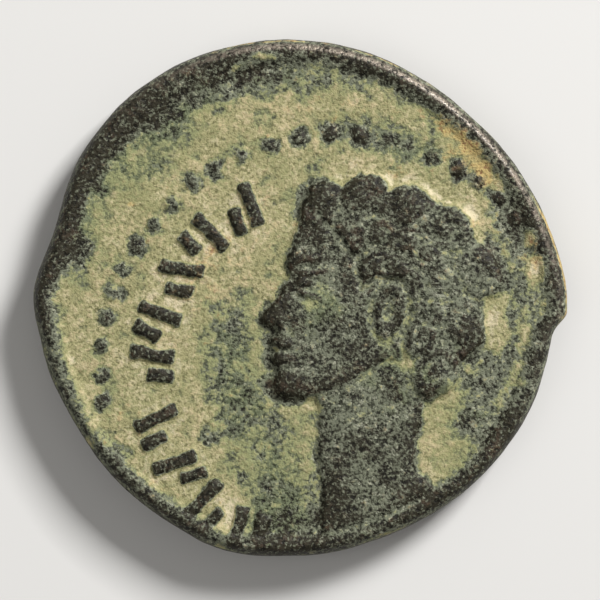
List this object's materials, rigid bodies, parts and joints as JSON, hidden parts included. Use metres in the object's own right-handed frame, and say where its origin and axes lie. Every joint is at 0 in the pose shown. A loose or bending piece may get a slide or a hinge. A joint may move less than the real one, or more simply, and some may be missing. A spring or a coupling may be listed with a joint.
{
  "type": "roman bronze coin",
  "caption": "Worn struck bronze coin: off-centre curly-haired head facing left, stroke legend and dotted border, wreath on the back.",
  "frame": {"origin": "on the plane the coin rests on, below the middle of its outline's box", "axes": "+Z out of the obverse, +Y to the head's crown, +X to the back of the head"},
  "size_m": [0.0256, 0.0248, 0.0029],
  "materials": {
    "patinated_bronze": "matt dark green-black patina on the relief and rim, fine sandy olive deposit in the fields"
  },
  "bodies": {
    "root": {"coin": "patinated_bronze"}
  },
  "joints": []
}
